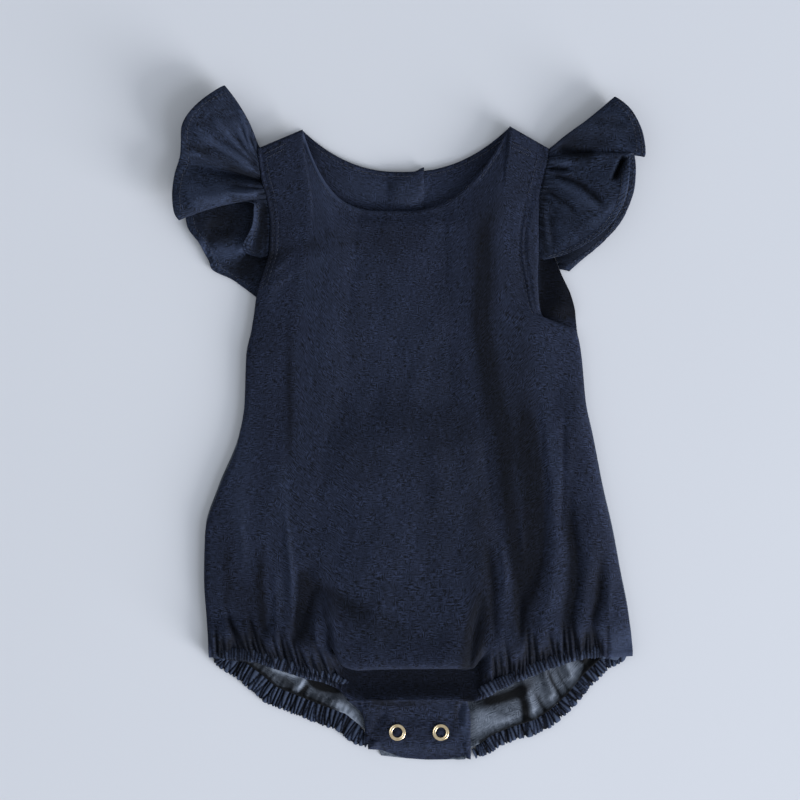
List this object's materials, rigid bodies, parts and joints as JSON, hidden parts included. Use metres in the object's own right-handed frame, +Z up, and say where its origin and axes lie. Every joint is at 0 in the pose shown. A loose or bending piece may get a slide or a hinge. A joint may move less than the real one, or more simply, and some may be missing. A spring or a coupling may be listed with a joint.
{
  "type": "denim bodysuit",
  "caption": "Baby's indigo denim bubble bodysuit laid flat: scoop neck, gathered flutter sleeves, elasticated leg openings and a crotch tab closed by gold ring snaps.",
  "frame": {"origin": "middle of the garment's bounding box, on the surface that it lies on", "axes": "+Y towards the neck, +X to the viewer's right when looking down on the front, +Z up out of the front"},
  "size_m": [0.2806, 0.4035, 0.018],
  "materials": {
    "denim": "dark indigo light denim, matt, fine slub weave",
    "denim_ruffle": "dark indigo light denim, gathered, matt",
    "denim_casing": "dark indigo light denim, finely ruched on elastic",
    "denim_wrong_side": "pale grey-blue wrong side of the denim",
    "thread": "tonal indigo topstitching",
    "gold_plate": "pale gold plate, polished",
    "button_resin": "dark indigo resin, satin"
  },
  "bodies": {
    "root": {"front_panel": "denim", "back_panel_left": "denim", "back_panel_right": "denim", "sleeve_left": "denim_ruffle", "sleeve_right": "denim_ruffle", "leg_casing_left": "denim_casing", "leg_casing_right": "denim_casing", "crotch_tab_front": "denim", "crotch_tab_back": "denim", "snap_cap_left": "gold_plate", "snap_cap_right": "gold_plate", "snap_stud_left": "gold_plate", "snap_stud_right": "gold_plate", "button_upper": "button_resin", "button_lower": "button_resin"}
  },
  "joints": []
}
